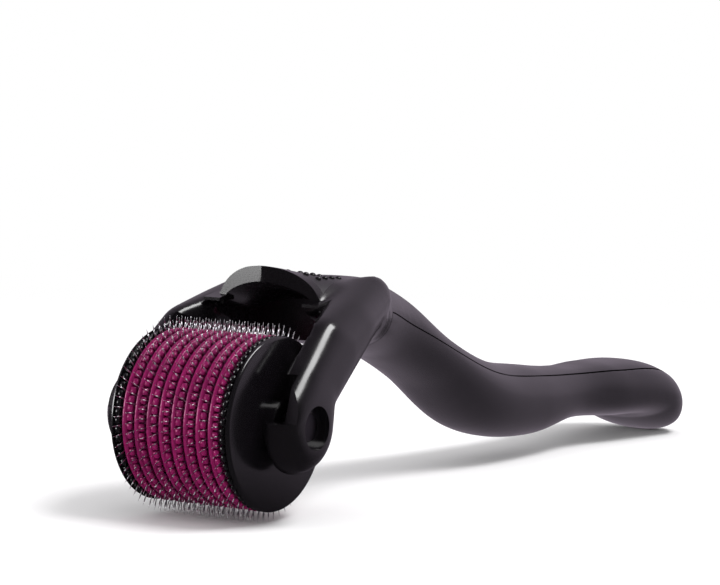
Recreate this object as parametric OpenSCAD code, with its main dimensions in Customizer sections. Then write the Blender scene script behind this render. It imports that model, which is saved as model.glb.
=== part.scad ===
// Derma roller: a drum of magenta rings and steel needle discs that turns on a
// steel axle in a forked, two-shell black handle.
// Working frame of the sub-parts: the drum's axis is Y, the handle runs along +X,
// and the axle's centre is the origin. place() moves all to the row's frame.

/* [Drum] */
// Outer radius of the rings and end caps
drum_r = 11; // [9:0.5:13]
// Number of magenta rings
ring_count = 8; // [4:1:9]
// Thickness of one ring
ring_w = 1.6; // [1.2:0.1:2]
// Depth of the needle notches in a ring's edge
notch_depth = 0.7; // [0.4:0.1:1]
// Width of the notched half of a ring's rim
notch_w = 0.75; // [0.5:0.05:1]
// Width of a tooth between two notches
tooth_w = 0.62; // [0.4:0.02:0.8]
// Crown height of a ring's smooth half
ring_crown = 0.35; // [0.1:0.05:0.5]

/* [Needle discs] */
// Thickness of a needle disc
needle_t = 0.24; // [0.15:0.01:0.3]
// Length of a needle outside the rings
needle_out = 1.5; // [0.5:0.1:2]
// Width of a needle at its root
needle_w = 0.34; // [0.2:0.02:0.5]
// Width of a needle's point, as a share of its root
needle_point = 0.15; // [0.05:0.05:0.4]
// Needles on one disc
needle_count = 60; // [30:2:72]

/* [End caps] */
// Width of the notched rim band
cap_rim_w = 1.1; // [0.8:0.1:2]
// Width of the groove beside the band
cap_groove_w = 0.4; // [0.2:0.05:0.6]
// Depth of the groove
cap_groove_d = 0.35; // [0.2:0.05:0.6]
// Bevel of the outer edge
cap_bevel = 0.55; // [0.3:0.05:1]
// Radius of the raised hub on the face
hub_r = 3.4; // [2.6:0.1:4.5]
// Height of the raised hub
hub_h = 0.8; // [0.4:0.1:1]

/* [Core and axle] */
// Depth of a ring from its edge to the core
ring_depth = 2.8; // [2:0.1:3.4]
// Radius of the steel axle
axle_r = 1.7; // [1.2:0.1:2.2]
// Height of the core's key ribs
key_h = 0.6; // [0.3:0.1:0.9]
// Width of a key rib
key_w = 1.6; // [1:0.1:2.5]
// Radial clearance of the rings and discs on the core
stack_gap = 0.04; // [0.02:0.01:0.1]

/* [Fork arms] */
// Gap between a cap's face and the arm
cheek_gap = 1.2; // [1:0.1:2]
// Thickness of an arm at its boss
arm_t = 3.95; // [3.2:0.05:5]
// Radius of the boss at the inner side
boss_r = 6.1; // [5:0.1:7]
// Radius of the flat on the outside of the boss
boss_face_r = 3.7; // [3.2:0.1:4.5]
// Depth of the boss's rounded outer edge
boss_dome = 2.4; // [1.5:0.1:2.8]
// Radius of the round window over the axle's end
window_r = 2.75; // [2.3:0.05:3.2]
// Depth of the round window
window_depth = 1.2; // [0.8:0.1:1.8]
// Thickness of the bearing wall behind the window
bearing_t = 0.9; // [0.7:0.1:1.2]
// Radial running clearance of the axle
axle_clear = 0.05; // [0.03:0.01:0.08]
// Height of the loading slot above the axle
slot_h = 6.6; // [5:0.1:8]
// Depth of the rounded outer edge of an arm
arm_edge = 1.7; // [1:0.1:2.6]
// Width of the rounded outer edge of an arm
arm_round = 0.9; // [0.6:0.1:2]
// Knee of an arm: radius
knee_r = 4.3; // [4:0.1:5]
// Knee of an arm: distance behind the axle
knee_x = 1.6; // [0:0.1:3]
// Knee of an arm: height above the axle
knee_z = 5.2; // [4:0.1:7]
// Elbow of an arm: radius
elbow_r = 4.7; // [4:0.1:5.2]
// Elbow of an arm: distance behind the axle
elbow_x = 6.8; // [5:0.1:8]
// Elbow of an arm: height above the axle
elbow_z = 8; // [7:0.1:9.5]
// Root of an arm: radius
root_r = 4.3; // [3.8:0.1:4.8]
// Root of an arm: distance behind the axle
root_x = 13.6; // [12:0.1:14.5]
// Root of an arm: height above the axle
root_z = 11.2; // [10.5:0.1:12]
// Root of an arm: step in from the outside of the boss
root_step = 1.5; // [0.5:0.1:2.5]
// Root of an arm: thickness
root_t = 5; // [4:0.1:6]
// Rolled crest behind the root: radius
crest_r = 3.5; // [3:0.1:4]
// Rolled crest: distance behind the axle
crest_x = 21.5; // [19:0.1:23]
// Rolled crest: distance from the middle plane
crest_y = 7.8; // [7:0.1:9]
// Rolled crest: height of its centre above the axle
crest_z = 14.2; // [13:0.1:15]

/* [Head] */
// Radial room round the needle tips under the bridge
tip_room = 1; // [0.6:0.1:2]
// Front lip: distance behind the axle
lip_x = 7.5; // [6:0.1:9]
// Front lip: height of its widest level
lip_z = 14.2; // [13:0.1:15]
// Front lip: width
lip_w = 15.4; // [15:0.2:20]
// Front lip: rise of the roof above the widest level
lip_rise = 4.8; // [4:0.1:5.5]
// Depth of the cut that trims the lip to its front edge
brow_cut = 1.25; // [0.8:0.05:2]
// Sweep of the front edge to the rear, for each unit of its half width
brow_sweep = 0.26; // [0.1:0.02:0.4]
// Crown: run from the lip
crown_l = 5.5; // [5:0.1:7]
// Crown: height of its widest level
crown_z = 13; // [12:0.1:14]
// Crown: width
crown_w = 18.4; // [17:0.2:22]
// Crown: rise
crown_rise = 5.2; // [4.5:0.1:6]
// Depth of the head below its widest level
head_sag = 2.4; // [2:0.1:4]
// Hollow under the bridge: width
hollow_w = 14; // [11:0.5:15]
// Hollow: height of the springing of its arch above the axle
hollow_z = 14.2; // [13:0.1:14.6]
// Hollow: rise of its arch
hollow_rise = 2.6; // [1.5:0.1:3]
// Hollow: length behind the lip
hollow_l = 11; // [8:0.5:12]
// Hollow: fall of its roof towards the rear
hollow_fall = 2.8; // [2:0.1:5]
// Dish in the top of the bridge: radius of its sphere
dish_r = 30; // [24:1:40]
// Dish: distance of its lowest point behind the lip
dish_l = 12; // [10:0.5:13]
// Dish: height of its lowest point above the axle
dish_z = 16.3; // [16:0.1:17.5]

/* [Handle sections] */
// Shoulder: run from the crown
shoulder_l = 7; // [5:0.1:9]
// Shoulder: height of its widest level
shoulder_z = 12.4; // [11.5:0.1:13]
// Shoulder: width
shoulder_w = 23; // [22:0.2:27]
// Shoulder: rise
shoulder_rise = 5; // [4.5:0.1:6]
// Shoulder: depth below its widest level
shoulder_sag = 4.2; // [3:0.1:6]
// Nape: run from the shoulder
nape_l = 7; // [6:0.1:9]
// Nape: height
nape_z = 12; // [10.5:0.1:13]
// Nape: width
nape_w = 17.6; // [16:0.2:20]
// Nape: depth
nape_d = 10.4; // [9:0.1:12]
// Neck: run from the nape
neck_l = 10; // [8:0.1:12]
// Neck: height
neck_z = 10; // [8:0.1:11]
// Neck: width
neck_w = 13.6; // [11:0.2:15]
// Neck: depth
neck_d = 9.6; // [7:0.1:11]
// Throat: run from the neck
throat_l = 12; // [10:0.1:15]
// Throat: height
throat_z = 4.7; // [3:0.1:7]
// Throat: width
throat_w = 13.2; // [11:0.2:15]
// Throat: depth
throat_d = 8.2; // [7:0.1:10]
// Belly: run from the throat
belly_l = 14; // [11:0.1:17]
// Belly: height
belly_z = -1.6; // [-4:0.1:1]
// Belly: width
belly_w = 13.6; // [11:0.2:16]
// Belly: depth
belly_d = 10.8; // [8:0.1:13]
// Seat of the palm: run from the belly
seat_l = 14; // [11:0.1:17]
// Seat of the palm: height
seat_z = -4; // [-6:0.1:-2]
// Seat of the palm: width
seat_w = 12.4; // [10:0.2:15]
// Seat of the palm: depth
seat_d = 10.2; // [8:0.1:12]
// Waist: run from the seat
waist_l = 12; // [9:0.1:15]
// Waist: height
waist_z = -3.9; // [-6:0.1:-2]
// Waist: width
waist_w = 11.6; // [9:0.2:14]
// Waist: depth
waist_d = 7.4; // [6:0.1:9]
// Flare: run from the waist
flare_l = 11; // [8:0.1:14]
// Flare: height
flare_z = -3.5; // [-6:0.1:-2]
// Flare: width
flare_w = 16.4; // [12:0.2:18]
// Flare: depth
flare_d = 8; // [5:0.1:9]
// Spoon: run from the flare
spoon_l = 13.5; // [10:0.1:17]
// Spoon: height
spoon_z = -4.7; // [-6:0.1:-3.8]
// Spoon: width
spoon_w = 18.4; // [14:0.2:20]
// Spoon: depth
spoon_d = 7.6; // [5:0.1:9]
// Tip: run from the spoon
tip_l = 9.3; // [7:0.1:12]
// Fall of the tip below the spoon
tip_fall = 6.7; // [4:0.1:7]

/* [Shells] */
// Parting line at the nape, as a share of the section's rise above its widest level
part_nape = 0.05; // [0:0.05:0.5]
// Parting line at the neck; below zero it is a share of the depth
part_neck = -0.1; // [-0.3:0.05:0.4]
// Parting line at the throat
part_throat = -0.05; // [-0.3:0.05:0.4]
// Parting line at the belly
part_belly = 0.55; // [0:0.05:0.7]
// Parting line from the seat to the tip
part_tail = 0.7; // [0.2:0.05:0.8]
// Wall of the finger pad
pad_t = 0.9; // [0.6:0.1:1.2]
// Width of the finger pad at the front
pad_w = 15; // [10:0.5:18]
// Distance of the pad's front edge behind the lip
pad_front = 4.3; // [4:0.1:6]
// Length of the finger pad
pad_l = 14; // [10:0.5:15]
// Distance of the pad's waist behind its front edge
pad_waist = 8; // [5:0.5:9]
// Width of the pad's waist
pad_waist_w = 12; // [8:0.5:14]
// Width of the pad's rear edge
pad_rear_w = 4.5; // [3:0.5:8]
// Gap round the pad in its recess
pad_gap = 0.05; // [0.03:0.01:0.1]

/* [Hidden] */

eps = 0.01;
// Overreach of a cut past the face that it opens
over = 1;
fine = 96;
black = "#17161b";
magenta = "#82205a";
steel = "#c9ccd2";

// Drum stack, measured along Y from the middle
ring_pitch = ring_w + needle_t;
stack_half = (ring_count * ring_pitch + needle_t) / 2;
cap_t = cap_rim_w + cap_groove_w + cap_bevel;
cap_face = stack_half + cap_t;
arm_in = cap_face + cheek_gap;
arm_out = arm_in + arm_t;
axle_half = arm_out - window_depth - eps;
tip_r = drum_r + needle_out;
core_r = drum_r - ring_depth;
step_a = 360 / needle_count;
head_room = 3 * tip_r;

// Handle sections: [run, height, width, rise, depth, parting line]
sections = [
    [lip_x, lip_z, lip_w, lip_rise, head_sag, part_nape],
    [crown_l, crown_z, crown_w, crown_rise, head_sag, part_nape],
    [shoulder_l, shoulder_z, shoulder_w, shoulder_rise, shoulder_sag, part_nape],
    [nape_l, nape_z, nape_w, nape_d / 2, nape_d / 2, part_nape],
    [neck_l, neck_z, neck_w, neck_d / 2, neck_d / 2, part_neck],
    [throat_l, throat_z, throat_w, throat_d / 2, throat_d / 2, part_throat],
    [belly_l, belly_z, belly_w, belly_d / 2, belly_d / 2, part_belly],
    [seat_l, seat_z, seat_w, seat_d / 2, seat_d / 2, part_tail],
    [waist_l, waist_z, waist_w, waist_d / 2, waist_d / 2, part_tail],
    [flare_l, flare_z, flare_w, flare_d / 2, flare_d / 2, part_tail],
    [spoon_l, spoon_z, spoon_w, spoon_d / 2, spoon_d / 2, part_tail]];
last = len(sections) - 1;
function run_to(i) = i == 0 ? sections[0][0] : run_to(i - 1) + sections[i][0];
stations = [for (i = [0:last])
    [run_to(i), sections[i][1], sections[i][2] / 2, sections[i][3], sections[i][4], sections[i][5]]];

seam = 3;

// Smooth curve through stations i and i + 1, with u from 0 to 1
function blend(a, b, c, d, u) =
    0.5 * (2 * b + (c - a) * u + (2 * a - 5 * b + 4 * c - d) * u * u + (3 * b - a - 3 * c + d) * u * u * u);
function slope(a, b, c, d, u) =
    0.5 * ((c - a) + 2 * (2 * a - 5 * b + 4 * c - d) * u + 3 * (3 * b - a - 3 * c + d) * u * u);
function station(i) =
    i < 0 ? 2 * stations[0] - stations[1]
    : i > last ? stations[last] + [tip_l, -tip_fall, 0, 0, 0, 0]
    : stations[i];
function at(i, u) = blend(station(i - 1), station(i), station(i + 1), station(i + 2), u);
function lean(i, u) =
    let (d = slope(station(i - 1), station(i), station(i + 1), station(i + 2), u))
    [d[0], d[1]] / norm([d[0], d[1]]);

// Rounded tip beyond the last station, as the angle t runs from 0 to 90
function tip_at(t) =
    let (s = stations[last])
    [s[0] + tip_l * sin(t), s[1] - tip_fall * sin(t), s[2] * cos(t), s[3] * cos(t), s[4] * cos(t), s[5]];
tip_lean = [tip_l, -tip_fall] / norm([tip_l, -tip_fall]);

// One span is cut into this many rings, and the tip into these angles
span_cuts = 4;
upper_cuts = 12;
lower_cuts = 24;
whole_cuts = 36;
tip_angles = [15, 30, 45, 58, 70, 80, 87];
function frames(from, to) = concat(
    [for (i = [from:to - 1], k = [0:span_cuts - 1]) [at(i, k / span_cuts), lean(i, k / span_cuts)]],
    [[at(to - 1, 1), lean(to - 1, 1)]]);
tip_frames = [for (t = tip_angles) [tip_at(t), tip_lean]];
back_frames = concat(frames(seam, last), tip_frames);

// Point of a section at angle q: rounded more squarely than an ellipse
squareness = 2.3;
function bulge(v) = sign(v) * pow(abs(v), 2 / squareness);
function section_point(frame, q) =
    let (s = frame[0], w = frame[1], h = bulge(sin(q)), v = h * (h > 0 ? s[3] : s[4]))
    [s[0] - w[1] * v, s[2] * bulge(cos(q)), s[1] + w[0] * v];
function section(frame, from, to, cuts) =
    [for (k = [0:cuts]) section_point(frame, from + (to - from) * k / cuts)];

// Solid skin through a list of rings with equal numbers of points
module skin(rings) {
    n = len(rings[0]);
    m = len(rings);
    sides = [for (r = [0:m - 2], k = [0:n - 1])
        let (j = (k + 1) % n, a = r * n)
        each [[a + k, a + n + j, a + j], [a + k, a + n + k, a + n + j]]];
    first = [for (k = [0:n - 1]) k];
    final = [for (k = [n - 1:-1:0]) (m - 1) * n + k];
    polyhedron([for (ring = rings) each ring], concat([first], sides, [final]), convexity = 8);
}

// Reach and lowest point of the handle, which set the whole's length and stand
handle_points = [for (f = back_frames) each section(f, 0, 360, 48)];
handle_reach = max([for (p = handle_points) p[0]]);
handle_low = min([for (p = handle_points) p[2]]);
overall = tip_r + handle_reach;
stand = max(tip_r, -handle_low);

// Angle of the parting line in a section
function part_angle(frame) = let (p = frame[0][5]) asin(sign(p) * pow(abs(p), squareness / 2));

// The part of a section above or below the parting line, and the whole of it
function upper_section(frame) = let (a = part_angle(frame)) section(frame, a, 180 - a, upper_cuts);
function lower_section(frame) =
    let (a = part_angle(frame)) section(frame, 180 - a, 360 + a, lower_cuts);
function whole_section(frame) = [for (k = [1:whole_cuts]) section_point(frame, 360 * k / whole_cuts)];

// Head of the handle, from the lip to the seam
module head_form() {
    skin([for (f = frames(0, seam)) whole_section(f)]);
}

// Handle behind the seam, above or below the parting line
module upper_form() {
    skin([for (f = back_frames) upper_section(f)]);
}

module lower_form() {
    skin([for (f = back_frames) lower_section(f)]);
}

module place() {
    translate([tip_r - overall / 2, 0, stand]) children();
}

// Along Y: a disc or a hole with its axis on Y
module along_y(y, height) {
    translate([0, y, 0]) rotate([-90, 0, 0]) linear_extrude(height) children();
}

// Toothed outline: count teeth between radii r_low and r_high, width w at the low radius
module toothed(r_low, r_high, count, w, tip_share, phase) {
    root = asin(w / 2 / r_low);
    tip = root * tip_share * r_low / r_high;
    polygon([for (i = [0:count - 1]) let (a = i * 360 / count + phase)
        each [
            r_low * [cos(a - root), sin(a - root)],
            r_high * [cos(a - tip), sin(a - tip)],
            r_high * [cos(a + tip), sin(a + tip)],
            r_low * [cos(a + root), sin(a + root)]]]);
}

// Space that the drum turns in, with room round the needle tips
module drum_room() {
    along_y(-arm_in, 2 * arm_in) circle(tip_r + tip_room, $fn = fine);
}

// Arch of the hollow, a distance x behind the axle
function hollow_arch(x, fall) = concat(
    [for (q = [0:10:180]) [x, hollow_w / 2 * cos(q), hollow_z - fall + hollow_rise * sin(q)]],
    [[x, -hollow_w / 2, 0], [x, hollow_w / 2, 0]]);

// Hollow under the bridge: open in front and below, with a roof that falls towards the rear
module bridge_hollow() {
    skin([
        hollow_arch(0, 0),
        hollow_arch(lip_x, 0),
        hollow_arch(lip_x + hollow_l, hollow_fall)]);
}

// What is trimmed off the lip, so that its front edge sweeps to the rear on both sides
module brow() {
    front = lip_x + brow_cut;
    linear_extrude(head_room) polygon([
        [0, -arm_out],
        [front + brow_sweep * arm_out, -arm_out],
        [front, 0],
        [front + brow_sweep * arm_out, arm_out],
        [0, arm_out]]);
}

// Dish in the top of the bridge: the lower part of a sphere, in rings round its axis
module dish() {
    skin([for (a = [2:4:30])
        [for (q = [0:10:350]) [
            lip_x + dish_l + dish_r * sin(a) * cos(q),
            dish_r * sin(a) * sin(q),
            dish_z + dish_r * (1 - cos(a))]]]);
}

// Outline of the finger pad from above, narrower towards the nape
module pad_outline(grow) {
    half = [
        [lip_x + pad_front - grow, pad_w / 2 + grow],
        [lip_x + pad_front + pad_waist, pad_waist_w / 2 + grow],
        [lip_x + pad_front + pad_l + grow, pad_rear_w / 2 + grow]];
    polygon(concat(half, [for (i = [2:-1:0]) [half[i][0], -half[i][1]]]));
}

// Dished head that the finger pad's surface follows
module pad_top() {
    difference() {
        head_form();
        dish();
    }
}

module pad_floor() {
    translate([0, 0, -pad_t]) pad_top();
}

// Round slab across an arm, between two distances from the middle plane
module slab(side, x, z, r, low, high) {
    translate([x, 0, z]) along_y(side > 0 ? low : -high, high - low) circle(r, $fn = 32);
}

// Slab whose outer edge is rounded off by a depth and a width
module rounded_slab(side, x, z, r, low, high, depth, width) {
    for (q = [0:30:90])
        slab(side, x, z, r - width * (1 - cos(q)), low, high - depth * (1 - sin(q)));
}

// Slab that an arm grows out of at the head
module root(side) {
    root_out = arm_out - root_step;
    rounded_slab(side, root_x, root_z, root_r, root_out - root_t, root_out, arm_edge, arm_round);
}

// Fork arm with a domed boss, a bent middle, and a crest that rolls over onto the head
module arm(side) {
    hull() {
        rounded_slab(side, 0, 0, boss_r, arm_in, arm_out, boss_dome, boss_r - boss_face_r);
        rounded_slab(side, knee_x, knee_z, knee_r, arm_in, arm_out, arm_edge, arm_round);
        rounded_slab(side, elbow_x, elbow_z, elbow_r, arm_in, arm_out - root_step / 3, arm_edge, arm_round);
        root(side);
    }
    hull() {
        root(side);
        translate([crest_x, side * crest_y, crest_z]) sphere(crest_r, $fn = 32);
    }
}

// Bearing, window and loading slot of one arm, cut from the inner side out
module axle_seat(side) {
    bore = axle_r + axle_clear;
    floor_y = arm_out - window_depth;
    slab(side, 0, 0, bore, arm_in - over, floor_y + over);
    slab(side, 0, 0, window_r, floor_y, arm_out + over);
    slot_t = arm_t - window_depth - bearing_t + over;
    translate([-boss_r - over, side > 0 ? arm_in - over : over - arm_in - slot_t, 0])
        cube([boss_r + over + bore, slot_t, slot_h]);
}

module upper_shell() {
    color(black) place() difference() {
        union() {
            difference() {
                head_form();
                brow();
            }
            upper_form();
            arm(1);
            arm(-1);
        }
        drum_room();
        bridge_hollow();
        dish();
        axle_seat(1);
        axle_seat(-1);
        difference() {
            linear_extrude(head_room) pad_outline(0);
            pad_floor();
        }
    }
}

module lower_shell() {
    color(black) place() lower_form();
}

module finger_pad() {
    color(black) place() intersection() {
        difference() {
            pad_top();
            pad_floor();
        }
        linear_extrude(head_room) pad_outline(-pad_gap);
    }
}

module axle() {
    color(steel) place() along_y(-axle_half, 2 * axle_half) circle(axle_r, $fn = fine);
}

module keys(grow) {
    for (a = [0, 120, 240]) rotate(a) translate([0, -key_w / 2 - grow])
        square([core_r + key_h + grow, key_w + 2 * grow]);
}

module drum_core() {
    color(magenta) place() along_y(-stack_half, 2 * stack_half) difference() {
        union() {
            circle(core_r, $fn = fine);
            keys(0);
        }
        circle(axle_r, $fn = fine);
    }
}

module core_bore() {
    circle(core_r + stack_gap, $fn = fine);
    keys(stack_gap);
}

// Half section of a ring's smooth half, from the core's keys out to its crowned edge
function ring_section(width) = concat(
    [[core_r - key_h, 0], [drum_r - notch_depth, 0]],
    [for (q = [-60:20:60])
        [drum_r - ring_crown + ring_crown * cos(q), width / 2 * (1 + sin(q) / sin(60))]],
    [[drum_r - notch_depth, width], [core_r - key_h, width]]);

module ring(i) {
    y0 = -stack_half + needle_t + (i - 1) * ring_pitch;
    color(magenta) place() difference() {
        union() {
            along_y(y0, notch_w)
                toothed(drum_r - notch_depth, drum_r, needle_count, tooth_w, 1, step_a / 2);
            translate([0, y0 + notch_w, 0]) rotate([-90, 0, 0])
                rotate_extrude($fn = fine) polygon(ring_section(ring_w - notch_w));
        }
        along_y(y0 - over, ring_w + 2 * over) core_bore();
    }
}

module needle_row(i) {
    color(steel) place() along_y(-stack_half + (i - 1) * ring_pitch, needle_t) difference() {
        toothed(drum_r - notch_depth, tip_r, needle_count, needle_w, needle_point, i % 2 * step_a / 2);
        core_bore();
    }
}

// Cap on the +Y side; the other is its mirror image
module end_cap() {
    along_y(stack_half, cap_rim_w) toothed(drum_r - notch_depth, drum_r, needle_count, tooth_w, 1, 0);
    translate([0, stack_half, 0]) rotate([-90, 0, 0]) rotate_extrude($fn = fine) polygon([
        [axle_r, 0],
        [drum_r - notch_depth, 0],
        [drum_r - notch_depth, cap_rim_w],
        [drum_r - cap_groove_d, cap_rim_w],
        [drum_r - cap_groove_d, cap_rim_w + cap_groove_w],
        [drum_r, cap_rim_w + cap_groove_w],
        [drum_r - cap_bevel, cap_t],
        [hub_r, cap_t],
        [hub_r, cap_t + hub_h],
        [axle_r, cap_t + hub_h]]);
}

module end_cap_left() {
    color(black) place() difference() {
        end_cap();
        along_y(0, arm_in) circle(axle_r, $fn = fine);
    }
}

module end_cap_right() {
    mirror([0, 1, 0]) end_cap_left();
}

upper_shell();
lower_shell();
finger_pad();
axle();
drum_core();
end_cap_left();
end_cap_right();
for (i = [1:ring_count]) ring(i);
for (i = [1:ring_count + 1]) needle_row(i);
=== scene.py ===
"""Derma roller: finish and fine detail of a microneedle skin roller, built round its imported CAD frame."""

import math

import bmesh
import bpy
import numpy as np
from bpy.props import FloatProperty, IntProperty, PointerProperty, StringProperty
from mathutils import Matrix, Vector


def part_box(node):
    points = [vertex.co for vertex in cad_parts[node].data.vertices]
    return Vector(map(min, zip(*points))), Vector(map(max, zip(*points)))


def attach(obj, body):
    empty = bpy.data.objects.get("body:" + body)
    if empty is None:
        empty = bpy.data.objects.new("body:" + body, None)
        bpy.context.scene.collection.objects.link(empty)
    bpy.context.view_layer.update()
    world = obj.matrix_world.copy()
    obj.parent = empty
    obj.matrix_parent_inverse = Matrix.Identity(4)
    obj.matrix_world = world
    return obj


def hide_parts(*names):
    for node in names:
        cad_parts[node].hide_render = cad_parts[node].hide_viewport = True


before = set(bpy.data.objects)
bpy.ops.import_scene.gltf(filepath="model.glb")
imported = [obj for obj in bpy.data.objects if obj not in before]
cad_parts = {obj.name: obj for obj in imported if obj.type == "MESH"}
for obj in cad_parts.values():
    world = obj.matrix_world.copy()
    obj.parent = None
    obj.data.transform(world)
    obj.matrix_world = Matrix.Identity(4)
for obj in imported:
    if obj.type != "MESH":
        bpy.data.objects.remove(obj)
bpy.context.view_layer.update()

bl_info = {
    "name": "Derma Roller",
    "version": (1, 0, 0),
    "blender": (4, 5, 0),
    "location": "View3D > Sidebar > Derma Roller",
    "description": "Builds the mouldings, needles and finishes of a derma roller",
    "category": "Add Mesh",
}

MM = 0.001
DOUBLES_DISTANCE = 1e-7

# Places that come from the frame
AXLE_LOW, AXLE_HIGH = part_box("axle")
AXLE = (AXLE_LOW + AXLE_HIGH) / 2
RING_COUNT = sum(1 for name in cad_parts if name.startswith("ring_"))
CAP_LOW, CAP_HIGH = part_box("end_cap_left")


# ---------------------------------------------------------------- sizes and colours


def length(name, description, default, **limits):
    """A length property, given in metres."""
    return FloatProperty(
        name=name, description=description, default=default, unit="LENGTH", precision=5, **limits)


def colour(name, description, default):
    """A colour property, as an sRGB hex value."""
    return StringProperty(name=name, description=description, default=default)


class DrumSizes(bpy.types.PropertyGroup):
    """Sizes of the turning drum."""
    radius: length("Drum radius", "Outer radius of the rings and caps", CAP_HIGH.z - AXLE.z)
    tooth_height: length("Tooth height", "Depth of the notches in a rim", 0.7 * MM)
    tooth_width: length("Tooth width", "Width of the tooth between two notches", 0.98 * MM)
    notch_band: length("Notched band", "Width of the notched half of a ring", 0.78 * MM)
    crown: length("Crown", "Height of a ring's smooth half above its flanks", 0.42 * MM)
    count: IntProperty(
        name="Needles", description="Needles in one row, and teeth on one rim", default=60, min=12)
    needle_out: length("Needle length", "Length of a needle outside the rings", 1.5 * MM)
    needle_width: length("Needle width", "Width of a needle at its root", 0.18 * MM)
    needle_tilt: FloatProperty(
        name="Needle tilt", description="Most that a needle leans from its radius", default=math.radians(2.5),
        subtype="ANGLE")
    cap_rim: length("Cap rim", "Width of the notched band of a cap", 0.75 * MM)
    cap_groove: length("Cap groove", "Width of the groove beside the band", 0.25 * MM)
    groove_depth: length("Groove depth", "Depth of the groove", 0.35 * MM)
    cap_bevel: length("Cap bevel", "Bevel of a cap's outer edge", 0.45 * MM)
    hub_radius: length("Hub radius", "Radius of the hub on a cap's face", 3.4 * MM)
    hub_height: length("Hub height", "Height of the hub", 1.4 * MM)
    bore: length("Bore", "Radius of the axle", 1.7 * MM)


class HandleSizes(bpy.types.PropertyGroup):
    """Sizes of the two handle mouldings."""
    squareness: FloatProperty(
        name="Squareness", description="2 is an ellipse, more is squarer", default=2.3, min=2, max=4)
    voxel: length("Mesh detail", "Edge length of the mouldings' mesh", 0.36 * MM)
    blend_passes: IntProperty(
        name="Blend passes", description="Smoothing passes where arms and bridge meet", default=14, min=1)
    part_gap: length("Parting groove", "Half width of the groove between the shells", 0.09 * MM)


class Finishes(bpy.types.PropertyGroup):
    """Colours of the finishes."""
    shell: colour("Shell", "Black ABS of the handle", "#0d0b0e")
    cap: colour("Cap", "Black polycarbonate of the end caps", "#0e0c0f")
    ring: colour("Ring", "Magenta polycarbonate of the rings", "#92125a")
    # Painted shade: the rings darken to this colour at the foot of their notches; the hidden core takes it as
    # its own colour
    notch_shade_and_core: colour("Notch shade and core", "Painted shade at the foot of the notches, and the core's colour", "#520a34")
    steel: colour("Steel", "Stainless steel of the needles", "#dcdade")
    # Painted shade: the axle's steel is darkened so that its end reads dark in the shaded window of the boss
    axle: colour("Axle", "Axle steel, darkened as painted shade", "#3c3a3e")
    pad: colour("Pad", "Black ABS of the finger pad", "#141216")
    floor: colour("Floor", "Pale floor", "#f4f3f4")


# ---------------------------------------------------------------- shared helpers


def linear(hex_value):
    """Turns an sRGB hex value into linear RGBA."""
    parts = [int(hex_value[i:i + 2], 16) / 255 for i in (1, 3, 5)]
    return [c / 12.92 if c <= 0.04045 else ((c + 0.055) / 1.055) ** 2.4 for c in parts] + [1.0]


def add(tree, kind, inputs=None, **settings):
    """Adds a node to a tree. An input is a value, or the socket that feeds it."""
    node = tree.nodes.new(kind)
    for key, value in settings.items():
        setattr(node, key, value)
    for key, value in (inputs or {}).items():
        if isinstance(value, bpy.types.NodeSocket):
            tree.links.new(value, node.inputs[key])
        else:
            node.inputs[key].default_value = value
    return node


def scene_object(name, data):
    """A new object at the origin of the scene, with the given mesh, light or camera."""
    obj = bpy.data.objects.new(name, data)
    bpy.context.scene.collection.objects.link(obj)
    return obj


def mesh_object(name, points, faces):
    """A new object at the origin, from points in metres and faces."""
    mesh = bpy.data.meshes.new(name)
    mesh.from_pydata([tuple(p) for p in points], [], faces)
    mesh.validate()
    return scene_object(name, mesh)


def full_turn(steps):
    """Angles evenly round a circle."""
    return np.arange(steps) * 2 * math.pi / steps


def smooth(obj, angle):
    """Smooth shading, with edges sharper than the angle kept sharp."""
    mesh = obj.data
    mesh.polygons.foreach_set("use_smooth", [True] * len(mesh.polygons))
    bm = bmesh.new()
    bm.from_mesh(mesh)
    for edge in bm.edges:
        edge.smooth = len(edge.link_faces) == 2 and edge.calc_face_angle(0) < angle
    bm.to_mesh(mesh)
    bm.free()


def outward(obj):
    """Merges doubles and turns every face outwards."""
    bm = bmesh.new()
    bm.from_mesh(obj.data)
    bmesh.ops.remove_doubles(bm, verts=bm.verts, dist=DOUBLES_DISTANCE)
    bmesh.ops.recalc_face_normals(bm, faces=bm.faces)
    bm.to_mesh(obj.data)
    bm.free()


def apply_modifiers(obj):
    """Replaces an object's mesh by its evaluated one and drops its modifiers."""
    graph = bpy.context.evaluated_depsgraph_get()
    graph.update()
    mesh = bpy.data.meshes.new_from_object(obj.evaluated_get(graph))
    obj.modifiers.clear()
    obj.data = mesh


def finish_piece(obj, body, material, node):
    """Gives a finished piece its material and body, and hides the CAD node it stands for."""
    obj.data.materials.clear()
    obj.data.materials.append(material)
    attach(obj, body)
    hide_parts(node)


def revolve(name, profile, steps):
    """Solid of revolution round the drum's axis, from a closed profile of (radius, y) in metres."""
    turn = [(math.cos(a), math.sin(a)) for a in full_turn(steps)]
    points = [(AXLE.x + r * c, y, AXLE.z + r * s) for c, s in turn for r, y in profile]
    n = len(profile)
    faces = []
    for i in range(steps):
        j = (i + 1) % steps
        for k in range(n):
            m = (k + 1) % n
            faces.append((i * n + k, i * n + m, j * n + m, j * n + k))
    obj = mesh_object(name, points, faces)
    outward(obj)
    return obj


# ---------------------------------------------------------------- materials

ABS_IOR = 1.54
HAZE_PATCH = 9 * MM
HAZE_SPAN = (0.3, 0.7)
HAZE_LOW, HAZE_HIGH = 0.75, 1.35
FLOW_WAVE = 6 * MM
FLOW_WAVE_HEIGHT = 0.05 * MM
# How far light goes into the tinted rings, the size of their clouding, how far below the rim the painted
# shade of the notches gives way to the full colour, and the colour of their gloss
TINT_DEPTH = 0.6 * MM
TINT_CLOUD = 3 * MM
NOTCH_SHADE_EDGE = 0.1 * MM
PINK_GLOSS = "#ffb4dc"
# Scratches of the needles' grinding, drawn coarser than they are so that they show
SCRATCH = 0.15 * MM
SCRATCH_LOW, SCRATCH_HIGH = 0.6, 1.5
# A Mix node has several sockets of one name, so its colour sockets go by number
MIX_FIRST, MIX_SECOND, MIX_RESULT = 6, 7, 2


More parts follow.
